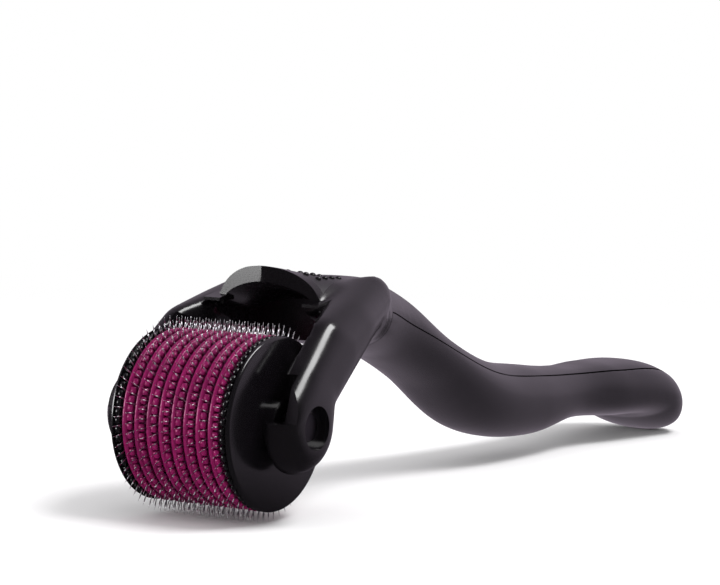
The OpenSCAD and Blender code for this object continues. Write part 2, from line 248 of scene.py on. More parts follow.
def shader(name, **values):
    """A new Principled material, with its shader and its object coordinates."""
    material = bpy.data.materials.new(name)
    material.use_nodes = True
    tree = material.node_tree
    tree.nodes.clear()
    surface = add(tree, "ShaderNodeBsdfPrincipled", values)
    output = add(tree, "ShaderNodeOutputMaterial")
    tree.links.new(surface.outputs["BSDF"], output.inputs["Surface"])
    place = add(tree, "ShaderNodeTexCoord").outputs["Object"]
    return material, tree, surface, place


def uneven_roughness(tree, surface, place, patch, detail, span, levels):
    """Noise patches of a real size drive the roughness between two levels."""
    noise = add(tree, "ShaderNodeTexNoise", {"Vector": place, "Scale": 1 / patch, "Detail": detail})
    rough = add(tree, "ShaderNodeMapRange", {
        "Value": noise.outputs["Fac"], "From Min": span[0], "From Max": span[1],
        "To Min": levels[0], "To Max": levels[1]})
    tree.links.new(rough.outputs["Result"], surface.inputs["Roughness"])


def moulded_abs(name, base, roughness):
    """Plastic injection-moulded in a polished tool: deep gloss, with faint flow waves and a little haze."""
    material, tree, surface, place = shader(name, **{"Base Color": linear(base), "IOR": ABS_IOR})
    # Haze from handling: softer and sharper patches in the gloss, about a finger's width across
    levels = (roughness * HAZE_LOW, roughness * HAZE_HIGH)
    uneven_roughness(tree, surface, place, HAZE_PATCH, 4.0, HAZE_SPAN, levels)
    # Flow waves of the melt: long highlights waver a little
    waves = add(tree, "ShaderNodeTexNoise", {"Vector": place, "Scale": 1 / FLOW_WAVE, "Detail": 1.0})
    bump = add(tree, "ShaderNodeBump", {
        "Height": waves.outputs["Fac"], "Strength": 0.12, "Distance": FLOW_WAVE_HEIGHT})
    tree.links.new(bump.outputs["Normal"], surface.inputs["Normal"])
    return material


def tinted_polycarbonate(name, base, deep, low, high):
    """Clear moulded polycarbonate with a magenta tint: light goes a little way in, so its gloss looks pink,
    and the colour darkens towards the foot of the notches as painted shade between the teeth."""
    material, tree, surface, place = shader(name, **{
        "IOR": 1.5, "Roughness": 0.3, "Subsurface Weight": 0.25, "Subsurface Radius": (0.9, 0.2, 0.5),
        "Subsurface Scale": TINT_DEPTH, "Specular Tint": linear(PINK_GLOSS)})
    # Painted shade: the base colour runs from the notch shade at the foot of the notches to the full colour
    # just below the rim, and the clouding breaks it up at random
    centred = add(tree, "ShaderNodeMapping", {"Vector": place, "Location": tuple(-AXLE)})
    parts = add(tree, "ShaderNodeSeparateXYZ", {"Vector": centred.outputs["Vector"]})
    flat = add(tree, "ShaderNodeCombineXYZ", {"X": parts.outputs["X"], "Z": parts.outputs["Z"]})
    radius = add(tree, "ShaderNodeVectorMath", {0: flat.outputs["Vector"]}, operation="LENGTH")
    share = add(tree, "ShaderNodeMapRange", {
        "Value": radius.outputs["Value"], "From Min": low, "From Max": high})
    cloud = add(tree, "ShaderNodeTexNoise", {"Vector": place, "Scale": 1 / TINT_CLOUD, "Detail": 2.0})
    uneven = add(tree, "ShaderNodeMath", {
        0: share.outputs["Result"], 1: cloud.outputs["Fac"]}, operation="MULTIPLY")
    tint = add(tree, "ShaderNodeMix", {
        "Factor": uneven.outputs["Value"], MIX_FIRST: linear(deep), MIX_SECOND: linear(base)},
        data_type="RGBA")
    tree.links.new(tint.outputs[MIX_RESULT], surface.inputs["Base Color"])
    return material


def drawn_steel(name, base, roughness):
    """Drawn and ground stainless steel: metallic, with fine scratches that break up its gloss."""
    material, tree, surface, place = shader(name, **{"Base Color": linear(base), "Metallic": 1.0})
    levels = (roughness * SCRATCH_LOW, roughness * SCRATCH_HIGH)
    uneven_roughness(tree, surface, place, SCRATCH, 2.0, (0, 1), levels)
    return material


# ---------------------------------------------------------------- geometry node trees

# A tooth's block is subdivided with creased edges, so that it comes out round-shouldered
TOOTH_LEVEL = 1
TOOTH_CREASE = 0.6
# Needle: sides, share of its length that is shank, and widths where the point starts and ends
NEEDLE_SIDES = 8
SHANK_SHARE = 0.62
SHANK_TAPER = 0.8
POINT_WIDTH = 0.08
# Grip bumps are flattened balls
BUMP_LEVEL = 2
BUMP_FLATNESS = 0.7
DOWN = (0, 0, -1)


def node_group(name, sockets):
    """An empty Geometry Nodes tree with named inputs: (name, socket type, default)."""
    tree = bpy.data.node_groups.new(name, "GeometryNodeTree")
    tree.interface.new_socket("Geometry", in_out="INPUT", socket_type="NodeSocketGeometry")
    for label, kind, default in sockets:
        socket = tree.interface.new_socket(label, in_out="INPUT", socket_type=kind)
        if default is not None:
            socket.default_value = default
    tree.interface.new_socket("Geometry", in_out="OUTPUT", socket_type="NodeSocketGeometry")
    return tree, add(tree, "NodeGroupInput"), add(tree, "NodeGroupOutput")


def run_group(obj, tree, values):
    """Runs a Geometry Nodes tree on obj with the given inputs and keeps the result as a plain mesh."""
    modifier = obj.modifiers.new(tree.name, "NODES")
    modifier.node_group = tree
    keys = {s.name: s.identifier for s in tree.interface.items_tree if s.in_out == "INPUT"}
    for label, value in values.items():
        modifier[keys[label]] = value
    apply_modifiers(obj)


def spoke_points(tree, given):
    """Points evenly round the drum's axis, and the rotation that turns Z to point outwards at each."""
    wheel = add(tree, "GeometryNodeMeshCircle", {"Vertices": given["Count"], "Radius": given["Radius"]})
    turn = add(tree, "ShaderNodeCombineXYZ", {"X": math.pi / 2, "Y": given["Phase"]})
    placed = add(tree, "GeometryNodeTransform", {
        "Geometry": wheel.outputs["Mesh"], "Rotation": turn.outputs["Vector"]})
    outwards = add(tree, "GeometryNodeInputPosition")
    facing = add(tree, "FunctionNodeAlignRotationToVector", {
        "Vector": outwards.outputs["Position"]}, axis="Z", pivot_axis="Y")
    return placed.outputs["Geometry"], facing.outputs["Rotation"]


def on_axle(tree, given, instances):
    """Moves a wheel of instances from the origin to its place on the axle."""
    moved = add(tree, "GeometryNodeTransform", {"Geometry": instances, "Translation": given["Centre"]})
    return moved.outputs["Geometry"]


def end_group(tree, given, output, instances):
    """Realizes the instances, joins them to the piece and sets the material."""
    real = add(tree, "GeometryNodeRealizeInstances", {"Geometry": instances})
    shade = add(tree, "GeometryNodeSetShadeSmooth", {
        "Geometry": real.outputs["Geometry"], "Shade Smooth": True})
    joined = add(tree, "GeometryNodeJoinGeometry")
    tree.links.new(shade.outputs["Geometry"], joined.inputs["Geometry"])
    tree.links.new(given["Geometry"], joined.inputs["Geometry"])
    painted = add(tree, "GeometryNodeSetMaterial", {
        "Geometry": joined.outputs["Geometry"], "Material": given["Material"]})
    tree.links.new(painted.outputs["Geometry"], output.inputs["Geometry"])
    return tree


def teeth_tree():
    """Rounded teeth round a rim."""
    tree, given, output = node_group("Rim teeth", [
        ("Count", "NodeSocketInt", 60), ("Radius", "NodeSocketFloat", 0.01),
        ("Phase", "NodeSocketFloat", 0.0), ("Height", "NodeSocketFloat", 0.001),
        ("Width", "NodeSocketFloat", 0.001), ("Band", "NodeSocketFloat", 0.001),
        ("Centre", "NodeSocketVector", None), ("Material", "NodeSocketMaterial", None)])
    given = given.outputs
    points, facing = spoke_points(tree, given)
    size = add(tree, "ShaderNodeCombineXYZ", {
        "X": given["Width"], "Y": given["Band"], "Z": given["Height"]})
    block = add(tree, "GeometryNodeMeshCube", {"Size": size.outputs["Vector"]})
    rounded = add(tree, "GeometryNodeSubdivisionSurface", {
        "Mesh": block.outputs["Mesh"], "Level": TOOTH_LEVEL, "Edge Crease": TOOTH_CREASE})
    spokes = add(tree, "GeometryNodeInstanceOnPoints", {
        "Points": points, "Instance": rounded.outputs["Mesh"], "Rotation": facing})
    return end_group(tree, given, output, on_axle(tree, given, spokes.outputs["Instances"]))


def needles_tree():
    """Pointed needles round a disc, each leaning a little its own way."""
    tree, given, output = node_group("Needle row", [
        ("Count", "NodeSocketInt", 60), ("Radius", "NodeSocketFloat", 0.01),
        ("Phase", "NodeSocketFloat", 0.0), ("Length", "NodeSocketFloat", 0.002),
        ("Width", "NodeSocketFloat", 0.0002), ("Tilt", "NodeSocketFloat", 0.05), ("Seed", "NodeSocketInt", 1),
        ("Centre", "NodeSocketVector", None), ("Material", "NodeSocketMaterial", None)])
    given = given.outputs
    points, facing = spoke_points(tree, given)
    root = add(tree, "ShaderNodeMath", {0: given["Width"], 1: 0.5}, operation="MULTIPLY")
    shank_length = add(tree, "ShaderNodeMath", {0: given["Length"], 1: SHANK_SHARE}, operation="MULTIPLY")
    tip_length = add(tree, "ShaderNodeMath", {0: given["Length"], 1: 1 - SHANK_SHARE}, operation="MULTIPLY")
    shank_top = add(tree, "ShaderNodeMath", {0: root.outputs["Value"], 1: SHANK_TAPER}, operation="MULTIPLY")
    point = add(tree, "ShaderNodeMath", {0: root.outputs["Value"], 1: POINT_WIDTH}, operation="MULTIPLY")
    shank = add(tree, "GeometryNodeMeshCone", {
        "Vertices": NEEDLE_SIDES, "Radius Top": shank_top.outputs["Value"],
        "Radius Bottom": root.outputs["Value"], "Depth": shank_length.outputs["Value"]})
    tip = add(tree, "GeometryNodeMeshCone", {
        "Vertices": NEEDLE_SIDES, "Radius Top": point.outputs["Value"],
        "Radius Bottom": shank_top.outputs["Value"], "Depth": tip_length.outputs["Value"]})
    lift = add(tree, "ShaderNodeCombineXYZ", {"Z": shank_length.outputs["Value"]})
    raised = add(tree, "GeometryNodeTransform", {
        "Geometry": tip.outputs["Mesh"], "Translation": lift.outputs["Vector"]})
    whole = add(tree, "GeometryNodeJoinGeometry")
    tree.links.new(raised.outputs["Geometry"], whole.inputs["Geometry"])
    tree.links.new(shank.outputs["Mesh"], whole.inputs["Geometry"])
    back = add(tree, "ShaderNodeMath", {0: given["Tilt"], 1: -1.0}, operation="MULTIPLY")
    low = add(tree, "ShaderNodeCombineXYZ", {"X": back.outputs["Value"], "Y": back.outputs["Value"]})
    high = add(tree, "ShaderNodeCombineXYZ", {"X": given["Tilt"], "Y": given["Tilt"]})
    lean = add(tree, "FunctionNodeRandomValue", {
        0: low.outputs["Vector"], 1: high.outputs["Vector"], "Seed": given["Seed"]}, data_type="FLOAT_VECTOR")
    spokes = add(tree, "GeometryNodeInstanceOnPoints", {
        "Points": points, "Instance": whole.outputs["Geometry"], "Rotation": facing})
    leaning = add(tree, "GeometryNodeRotateInstances", {
        "Instances": spokes.outputs["Instances"], "Rotation": lean.outputs["Value"]})
    return end_group(tree, given, output, on_axle(tree, given, leaning.outputs["Instances"]))


def dots_tree():
    """Staggered grip bumps over a piece, seen from above, that keep clear of its edges."""
    tree, given, output = node_group("Grip bumps", [
        ("Pitch", "NodeSocketFloat", 0.0016), ("Radius", "NodeSocketFloat", 0.0005),
        ("Rows", "NodeSocketInt", 12), ("Margin", "NodeSocketVector", None),
        ("Centre", "NodeSocketVector", None), ("Material", "NodeSocketMaterial", None)])
    given = given.outputs
    last = add(tree, "ShaderNodeMath", {0: given["Rows"], 1: 1.0}, operation="SUBTRACT").outputs["Value"]
    # Two grids, the second half a step along and across, make rows that stand in each other's gaps
    wide = add(tree, "ShaderNodeMath", {0: given["Pitch"], 1: math.sqrt(3)}, operation="MULTIPLY")
    step = {"X": given["Pitch"], "Y": wide.outputs["Value"]}
    size = {way: add(tree, "ShaderNodeMath", {0: last, 1: amount}, operation="MULTIPLY").outputs["Value"]
            for way, amount in step.items()}
    grid = add(tree, "GeometryNodeMeshGrid", {
        "Size X": size["X"], "Size Y": size["Y"], "Vertices X": given["Rows"], "Vertices Y": given["Rows"]})
    half = add(tree, "ShaderNodeCombineXYZ", step)
    stagger = add(tree, "ShaderNodeVectorMath", {0: half.outputs["Vector"], "Scale": 0.5}, operation="SCALE")
    second = add(tree, "GeometryNodeTransform", {
        "Geometry": grid.outputs["Mesh"], "Translation": stagger.outputs["Vector"]})
    both = add(tree, "GeometryNodeJoinGeometry")
    for mesh in (grid.outputs["Mesh"], second.outputs["Geometry"]):
        tree.links.new(mesh, both.inputs["Geometry"])
    placed = add(tree, "GeometryNodeTransform", {
        "Geometry": both.outputs["Geometry"], "Translation": given["Centre"]})
    # The piece shrunk about the centre tells which points stay clear of its edges
    away = add(tree, "ShaderNodeVectorMath", {0: given["Centre"], "Scale": -1.0}, operation="SCALE")
    shape = add(tree, "GeometryNodeTransform", {
        "Geometry": given["Geometry"], "Translation": away.outputs["Vector"]})
    inset = add(tree, "GeometryNodeTransform", {
        "Geometry": shape.outputs["Geometry"], "Scale": given["Margin"]})
    inside = add(tree, "GeometryNodeTransform", {
        "Geometry": inset.outputs["Geometry"], "Translation": given["Centre"]})
    within = add(tree, "GeometryNodeRaycast", {
        "Target Geometry": inside.outputs["Geometry"], "Ray Direction": DOWN})
    missed = add(tree, "FunctionNodeBooleanMath", {0: within.outputs["Is Hit"]}, operation="NOT")
    kept = add(tree, "GeometryNodeDeleteGeometry", {
        "Geometry": placed.outputs["Geometry"], "Selection": missed.outputs["Boolean"]})
    fall = add(tree, "GeometryNodeRaycast", {"Target Geometry": given["Geometry"], "Ray Direction": DOWN})
    landed = add(tree, "GeometryNodeSetPosition", {
        "Geometry": kept.outputs["Geometry"], "Position": fall.outputs["Hit Position"]})
    bump = add(tree, "GeometryNodeMeshIcoSphere", {"Radius": given["Radius"], "Subdivisions": BUMP_LEVEL})
    spots = add(tree, "GeometryNodeInstanceOnPoints", {
        "Points": landed.outputs["Geometry"], "Instance": bump.outputs["Mesh"],
        "Scale": (1, 1, BUMP_FLATNESS)})
    return end_group(tree, given, output, spots.outputs["Instances"])


# ---------------------------------------------------------------- the drum

RING_STEPS = 192
DISC_STEPS = 96
RING_SMOOTH = math.radians(40)
CAP_SMOOTH = math.radians(35)
# Half of the arc that crowns a ring, and its points
CROWN_ARC = math.radians(78)
CROWN_POINTS = 13
# A tooth's block starts a little inside the rim: its middle and its height as shares of the tooth's height
TOOTH_MIDDLE = 0.52
TOOTH_BLOCK = 1.08
# The needle discs end below the notches, and reach in to some bores' width; needles are rooted in the rings
DISC_TOP = 1.3
DISC_BORES = 3
NEEDLE_ROOT = 0.5 * MM
FIRST_SEED = 11
# Rounding of a cap's outer edge, in steps, and of its hub's
CAP_ROUND = np.radians([0, 15, 30, 45, 60, 75, 90])
HUB_LIP = 0.15 * MM
# Needles are too thin to mirror anything, and only glint, so they are rougher than polished steel
NEEDLE_ROUGHNESS = 0.34
CAP_ROUGHNESS = 0.18
AXLE_ROUGHNESS = 0.3
CORE_ROUGHNESS = 0.3


def ring_profile(sizes, y0, y1):
    """Section of a magenta ring: a low band that carries the teeth, and a crowned smooth half."""
    low = sizes.radius - sizes.tooth_height
    band = y0 + sizes.notch_band
    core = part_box("drum_core")[1].z - AXLE.z
    crown = []
    for q in np.linspace(-CROWN_ARC, CROWN_ARC, CROWN_POINTS):
        share = (math.sin(q) / math.sin(CROWN_ARC) + 1) / 2
        crown.append((
            sizes.radius - sizes.crown + sizes.crown * (math.cos(q) - math.cos(CROWN_ARC)),
            band + (y1 - band) * share))
    return [(core, y0), (low, y0), (low, band), *crown, (low, y1), (core, y1)]


def add_teeth(obj, tree, sizes, material, phase, band, middle):
    """Sets teeth round the rim of a ring or cap, in a band of the given width and middle."""
    run_group(obj, tree, {
        "Count": sizes.count, "Radius": sizes.radius - sizes.tooth_height * TOOTH_MIDDLE, "Phase": phase,
        "Height": sizes.tooth_height * TOOTH_BLOCK, "Width": sizes.tooth_width, "Band": band,
        "Centre": (AXLE.x, middle, AXLE.z), "Material": material})


class ROLLER_OT_rings(bpy.types.Operator):
    """Builds the magenta rings, each with a notched and a smooth half"""
    bl_idname = "roller.rings"
    bl_label = "Rings"

    def execute(self, context):
        sizes, finishes = context.scene.drum_sizes, context.scene.roller_finishes
        tree = teeth_tree()
        # The rings' colour darkens towards the foot of the notches as painted shade
        material = tinted_polycarbonate(
            "Magenta polycarbonate", finishes.ring, finishes.notch_shade_and_core,
            sizes.radius - sizes.tooth_height, sizes.radius - NOTCH_SHADE_EDGE)
        step = 2 * math.pi / sizes.count
        for i in range(1, RING_COUNT + 1):
            low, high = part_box(f"ring_{i}")
            ring = revolve(f"ring_moulding_{i}", ring_profile(sizes, low.y, high.y), RING_STEPS)
            smooth(ring, RING_SMOOTH)
            add_teeth(ring, tree, sizes, material, step / 2, sizes.notch_band, low.y + sizes.notch_band / 2)
            finish_piece(ring, "drum", material, f"ring_{i}")
        return {"FINISHED"}


class ROLLER_OT_needles(bpy.types.Operator):
    """Builds the rows of steel needles between the rings"""
    bl_idname = "roller.needles"
    bl_label = "Needles"

    def execute(self, context):
        sizes, finishes = context.scene.drum_sizes, context.scene.roller_finishes
        tree = needles_tree()
        material = drawn_steel("Needle stainless steel", finishes.steel, NEEDLE_ROUGHNESS)
        step = 2 * math.pi / sizes.count
        inner = sizes.bore * DISC_BORES
        outer = sizes.radius - sizes.tooth_height * DISC_TOP
        for i in range(1, RING_COUNT + 2):
            low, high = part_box(f"needle_row_{i}")
            profile = [(inner, low.y), (outer, low.y), (outer, high.y), (inner, high.y)]
            disc = revolve(f"needle_disc_{i}", profile, DISC_STEPS)
            # The points of every second row stand between those of its neighbours
            run_group(disc, tree, {
                "Count": sizes.count, "Radius": sizes.radius - NEEDLE_ROOT, "Phase": step / 2 * (i % 2),
                "Length": sizes.needle_out + NEEDLE_ROOT, "Width": sizes.needle_width,
                "Tilt": sizes.needle_tilt, "Seed": FIRST_SEED + i,
                "Centre": (AXLE.x, (low.y + high.y) / 2, AXLE.z), "Material": material})
            finish_piece(disc, "drum", material, f"needle_row_{i}")
        return {"FINISHED"}


class ROLLER_OT_caps(bpy.types.Operator):
    """Builds the two black end caps with their notched rims"""
    bl_idname = "roller.caps"
    bl_label = "End caps"

    def execute(self, context):
        sizes, finishes = context.scene.drum_sizes, context.scene.roller_finishes
        tree = teeth_tree()
        material = moulded_abs("Black polycarbonate", finishes.cap, CAP_ROUGHNESS)
        low = sizes.radius - sizes.tooth_height
        groove = sizes.radius - sizes.groove_depth
        inner = CAP_LOW.y
        rim = inner + sizes.cap_rim
        edge = rim + sizes.cap_groove
        face = edge + sizes.cap_bevel
        hub = face + sizes.hub_height
        rounding = [
            (sizes.radius - sizes.cap_bevel * (1 - math.cos(q)), edge + sizes.cap_bevel * math.sin(q))
            for q in CAP_ROUND]
        profile = [
            (sizes.bore, inner), (low, inner), (low, rim), (groove, rim), (groove, edge), *rounding,
            (sizes.hub_radius, face), (sizes.hub_radius, hub - HUB_LIP), (sizes.hub_radius - HUB_LIP, hub),
            (sizes.bore, hub)]
        for side, place in ((1, "left"), (-1, "right")):
            cap = revolve(f"cap_moulding_{place}", [(r, side * y) for r, y in profile], RING_STEPS)
            smooth(cap, CAP_SMOOTH)
            add_teeth(cap, tree, sizes, material, 0.0, sizes.cap_rim, side * (inner + sizes.cap_rim / 2))
            finish_piece(cap, "drum", material, f"end_cap_{place}")
        return {"FINISHED"}


class ROLLER_OT_axle(bpy.types.Operator):
    """Finishes the steel axle and the hidden core"""
    bl_idname = "roller.axle"
    bl_label = "Axle and core"

    def execute(self, context):
        finishes = context.scene.roller_finishes
        # Painted shade: the axle's steel is darkened so that the boss's window reads dark
        steel = drawn_steel("Axle steel darkened as painted shade", finishes.axle, AXLE_ROUGHNESS)
        # The hidden core takes the notch shade colour as its own colour
        core = moulded_abs("Core polycarbonate", finishes.notch_shade_and_core, CORE_ROUGHNESS)
        for node, material in (("axle", steel), ("drum_core", core)):
            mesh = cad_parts[node].data
            mesh.materials.clear()
            mesh.materials.append(material)
        return {"FINISHED"}


# ---------------------------------------------------------------- the handle

# Sections of the handle, in mm from the axle's centre:
# name, distance behind the axle, height, width, rise above the height, depth below it, and where the parting
# line lies, as a share of the rise, or below zero of the depth
STATIONS = (
    ("lip", 7.5, 14.2, 13.6, 4.8, 2.4, 0.05),
    ("crown", 13, 13, 17.4, 5.2, 2.4, 0.05),
    ("shoulder", 20, 12.4, 23, 5, 4.2, 0.05),
    ("nape", 27, 12, 17.6, 4.9, 5.2, 0.05),
    ("neck", 37, 9.4, 13.6, 4.4, 4.6, 0),
    ("throat", 49, 4.1, 13.2, 3.5, 4.1, 0.3),
    ("belly", 63, -2.2, 13.6, 5.1, 5.4, 0.62),
    ("seat", 77, -4.2, 12.4, 5.2, 5.3, 0.72),
    ("waist", 90, -4.2, 11.4, 4, 4, 0.75),
    ("flare", 101, -5.1, 15.4, 4.9, 3.6, 0.75),
    ("spoon", 113, -6.3, 18.6, 5.2, 3.8, 0.75),
)
# The station where the lower moulding starts, and the rounded tip beyond the last one
SEAM = 3
TIP_LENGTH = 9.3
TIP_FALL = 5.3
TIP_ARC = math.radians(88)
# Sections between two stations, and points round a section
CUTS = 10
AROUND = 112

# Fork arms, in mm: faces of an arm, and its boss with a flat middle and a domed edge
ARM_INNER = 10.73
ARM_OUTER = 14.68
BOSS_RADIUS = 6.1
BOSS_FLAT = 3.0
BOSS_DOME = 3.7
# Bends of an arm: x, z, radius, distances of its inner and outer face from the middle plane,
# depth and width of its rounded outer edge
KNEE = (2.2, 4.15, 4.6, 10.73, 14.3, 3.4, 2.7)
ELBOW = (7.8, 8.5, 4.9, 10.73, 13.8, 3.1, 3.3)
ROOT = (13.6, 11.3, 3.9, 8.2, 12.9, 3.4, 2.4)
EDGE_ROUND = np.radians([0, 20, 40, 60, 80, 90])
# Ball in the shoulder where an arm ends: x, y, z, radius
CREST = (21.5, 7.8, 14.2, 3.5)
CREST_SLICES = np.radians(np.arange(-90, 91, 10))
# Front edge of an arm above the boss: it is trimmed back along this line
TRIM = ((-4.2, 0.8), (-3.3, 3.8), (-2.4, 6.4))
# Round window in a boss's outer face, the bearing behind it, and the slot that the axle is pushed in through
WINDOW_RADIUS = 2.75
WINDOW_DEPTH = 1.2
BEARING_WALL = 0.9
BEARING_RADIUS = 1.75
BEARING_END = 0.5
SLOT_HEIGHT = 6.6
SLOT_LOW = 0.8
SLOT_FRONT = 2
# Points of circles: in an arm's discs, in the crest's ball and in bored holes
DISC_POINTS = 64
CREST_POINTS = 48
BORE_POINTS = 128
# What a cutting tool passes a surface by, and how strong one smoothing pass is
OVER = 1
BLEND_FACTOR = 0.5

# Bridge, in mm: room for the needle tips, the brow in front, and the arched hollow under the bridge
TIP_RADIUS = 12.5
TIP_ROOM = 1.0
BROW = 8.75
BROW_SWEEP = 0.26
BROW_LOW = 13.4
HOLLOW_HALF = 7.0
HOLLOW_SPRING = 14.2
HOLLOW_RISE = 2.6
HOLLOW_BACK = 18.5
HOLLOW_FALL = 2.8
HOLLOW_ARCH = np.radians(np.arange(0, 181, 6))
# Small ledges at the foot of the bridge's brow: their section (x, z) and where they lie across
TAB_SECTION = ((8.7, 13.9), (12, 13.9), (12, 14.9), (8.7, 14.3))
TAB_ACROSS = (6.3, 8.8)
# Finger pad, in mm: the dish that a ball leaves in the bridge, the pad's outline (x, half width) and recess
DISH_RADIUS = 40
DISH_X = 24
DISH_Z = 16.3
DISH_LEVEL = 6
PAD_OUTLINE = ((11.8, 7.5), (19.8, 6), (25.8, 2.25))
PAD_THICK = 0.9
RECESS_LOW = 13
ABOVE_ALL = 40
# Grip bumps, in mm: pitch and radius, rows in each of two grids, their middle above the pad, and the share
# that the pad is shrunk to for a margin
BUMP_PITCH = 1.6
BUMP_RADIUS = 0.45
BUMP_ROWS = 12
BUMP_CENTRE = (18.4, 0, 30)
BUMP_MARGIN = (0.95, 0.93, 1)
# How far the parting's tool reaches past the handle, and past its tip
PARTING_REACH = 6
PARTING_END = 4
MOULDING_SMOOTH = math.radians(32)
# The shells come from a mirror-polished tool, and the pad from a plainer one, so its gloss is softer
SHELL_ROUGHNESS = 0.2
PAD_ROUGHNESS = 0.3


def stations_curve():
    """Smooth run of sections through the stations, then round the tip.

    Each row holds x, z, half width, rise, depth, share of the parting line, and the direction that it faces.
    """
    table = np.array([row[1:] for row in STATIONS], float)
    table[:, 2] /= 2
    before = 2 * table[0] - table[1]
    after = table[-1] + np.array([TIP_LENGTH, -TIP_FALL, 0, 0, 0, 0])
    points = np.vstack([before, table, after])
    rows = []
    # Catmull-Rom curve through the stations, and its slope
    for i in range(len(table) - 1):
        a, b, c, d = points[i:i + 4]
        for u in np.arange(CUTS) / CUTS:
            value = 0.5 * (2 * b + (c - a) * u + (2 * a - 5 * b + 4 * c - d) * u ** 2
                           + (3 * b - a - 3 * c + d) * u ** 3)
            slope = 0.5 * ((c - a) + 2 * (2 * a - 5 * b + 4 * c - d) * u
                           + 3 * (3 * b - a - 3 * c + d) * u ** 2)
            rows.append([*value, *(slope[:2] / np.linalg.norm(slope[:2]))])
    fall = np.array([TIP_LENGTH, -TIP_FALL])
    lean = fall / np.linalg.norm(fall)
    for t in np.linspace(0, TIP_ARC, 3 * CUTS):
        end = table[-1]
        rows.append([
            end[0] + fall[0] * math.sin(t), end[1] + fall[1] * math.sin(t),
            *(end[2:5] * math.cos(t)), end[5], *lean])
    return rows


def bulge(value, squareness):
    """Pushes a sine or cosine outwards, so that an ellipse becomes squarer."""
    return math.copysign(abs(value) ** (2 / squareness), value)


def loft(name, rings):
    """Closed skin through rings with equal numbers of points, in mm from the axle's centre."""
    n, m = len(rings[0]), len(rings)
    points = [(AXLE + Vector(p) * MM) for ring in rings for p in ring]
    faces = [tuple(range(n))[::-1], tuple(range((m - 1) * n, m * n))]
    for r in range(m - 1):
        for k in range(n):
            j = (k + 1) % n
            faces.append((r * n + k, r * n + j, (r + 1) * n + j, (r + 1) * n + k))
    obj = mesh_object(name, points, faces)
    outward(obj)
    return obj


def handle_form(squareness):
    """The handle from lip to tip in one skin, without the fork arms."""
    rings = []
    for x, z, half, rise, depth, _, along_x, along_z in stations_curve():
        ring = []
        for q in full_turn(AROUND):
            up = bulge(math.sin(q), squareness)
            v = up * (rise if up > 0 else depth)
            ring.append((x - along_z * v, half * bulge(math.cos(q), squareness), z + along_x * v))
        rings.append(ring)
    return loft("handle_form", rings)


def from_bmesh(name, bm):
    """A new object from a bmesh, which is freed."""
    mesh = bpy.data.meshes.new(name)
    bm.to_mesh(mesh)
    bm.free()
    return scene_object(name, mesh)


def hull(name, points):
    """Convex solid round points in mm from the axle's centre."""
    bm = bmesh.new()
    for p in points:
        bm.verts.new(AXLE + Vector(p) * MM)
    result = bmesh.ops.convex_hull(bm, input=bm.verts)
    loose = {v for v in result["geom_interior"] if isinstance(v, bmesh.types.BMVert)}
    bmesh.ops.delete(bm, geom=list(loose), context="VERTS")
    obj = from_bmesh(name, bm)
    outward(obj)
    return obj


def circle_y(x, z, radius, y, steps):
    """Points of a circle in mm, whose axis is parallel to the drum's."""
    return [(x + radius * math.cos(a), y, z + radius * math.sin(a)) for a in full_turn(steps)]


def rounded_disc(side, x, z, radius, low, high, depth, width):
    """Points of a disc across an arm, with its outer edge rounded off, in mm."""
    points = circle_y(x, z, radius, side * low, DISC_POINTS)
    for q in EDGE_ROUND:
        rim, face = radius - width * (1 - math.cos(q)), high - depth * (1 - math.sin(q))
        points += circle_y(x, z, rim, side * face, DISC_POINTS)
    return points


def arm_forms(side):
    """The convex parts of one fork arm: boss to knee, knee to elbow, elbow to root, and root to crest."""
    boss = (0, 0, BOSS_RADIUS, ARM_INNER, ARM_OUTER, BOSS_DOME, BOSS_RADIUS - BOSS_FLAT)
    forms = [rounded_disc(side, *row) for row in (boss, KNEE, ELBOW, ROOT)]
    x, y, z, radius = CREST
    forms.append([
        point for a in CREST_SLICES
        for point in circle_y(x, z, radius * math.cos(a), side * y + radius * math.sin(a), CREST_POINTS)])
    return [hull("arm_part", first + second) for first, second in zip(forms, forms[1:])]


def trim_form():
    """What is trimmed off the front of both arms above the boss."""
    outline = [*TRIM, (-2 * BOSS_RADIUS, TRIM[-1][1]), (-2 * BOSS_RADIUS, TRIM[0][1])]
    return across("trim", outline, -ARM_OUTER - OVER, ARM_OUTER + OVER)


def dish_form():
    """Large ball that leaves the shallow dish of the finger pad in the bridge."""
    bm = bmesh.new()
    place = Matrix.Translation(AXLE + Vector((DISH_X, 0, DISH_Z + DISH_RADIUS)) * MM)
    bmesh.ops.create_icosphere(bm, subdivisions=DISH_LEVEL, radius=DISH_RADIUS * MM, matrix=place)
    return from_bmesh("dish", bm)


def bore(name, radius, y0, y1):
    """Cylinder on the drum's axis between two places along it, in mm."""
    return loft(name, [circle_y(0, 0, radius, y, BORE_POINTS) for y in sorted((y0, y1))])


def prism(name, outline, low, high):
    """Upright prism over an outline (x, y), in mm from the axle's centre."""
    return loft(name, [[(x, y, z) for x, y in outline] for z in (low, high)])


def across(name, outline, y0, y1):
    """Prism that lies across the handle, with an outline (x, z), in mm from the axle's centre."""
    return loft(name, [[(x, y, z) for x, z in outline] for y in (y0, y1)])


def hollow_form():
    """Space under the bridge: an arch that is open in front and below, and falls towards the back."""
    rings = []
    for x, fall in ((0, 0), (BROW, 0), (HOLLOW_BACK, HOLLOW_FALL)):
        arch = [(HOLLOW_HALF * math.cos(q), HOLLOW_SPRING - fall + HOLLOW_RISE * math.sin(q))
                for q in HOLLOW_ARCH]
        rings.append([(x, y, z) for y, z in [*arch, (-HOLLOW_HALF, 0), (HOLLOW_HALF, 0)]])
    return loft("hollow", rings)


def brow_form():
    """What lies in front of the bridge's brow, which sweeps back on both sides."""
    wide = ARM_OUTER
    back = BROW + BROW_SWEEP * wide
    outline = [(0, -wide), (back, -wide), (BROW, 0), (back, wide), (0, wide)]
    return prism("brow", outline, BROW_LOW, ABOVE_ALL)


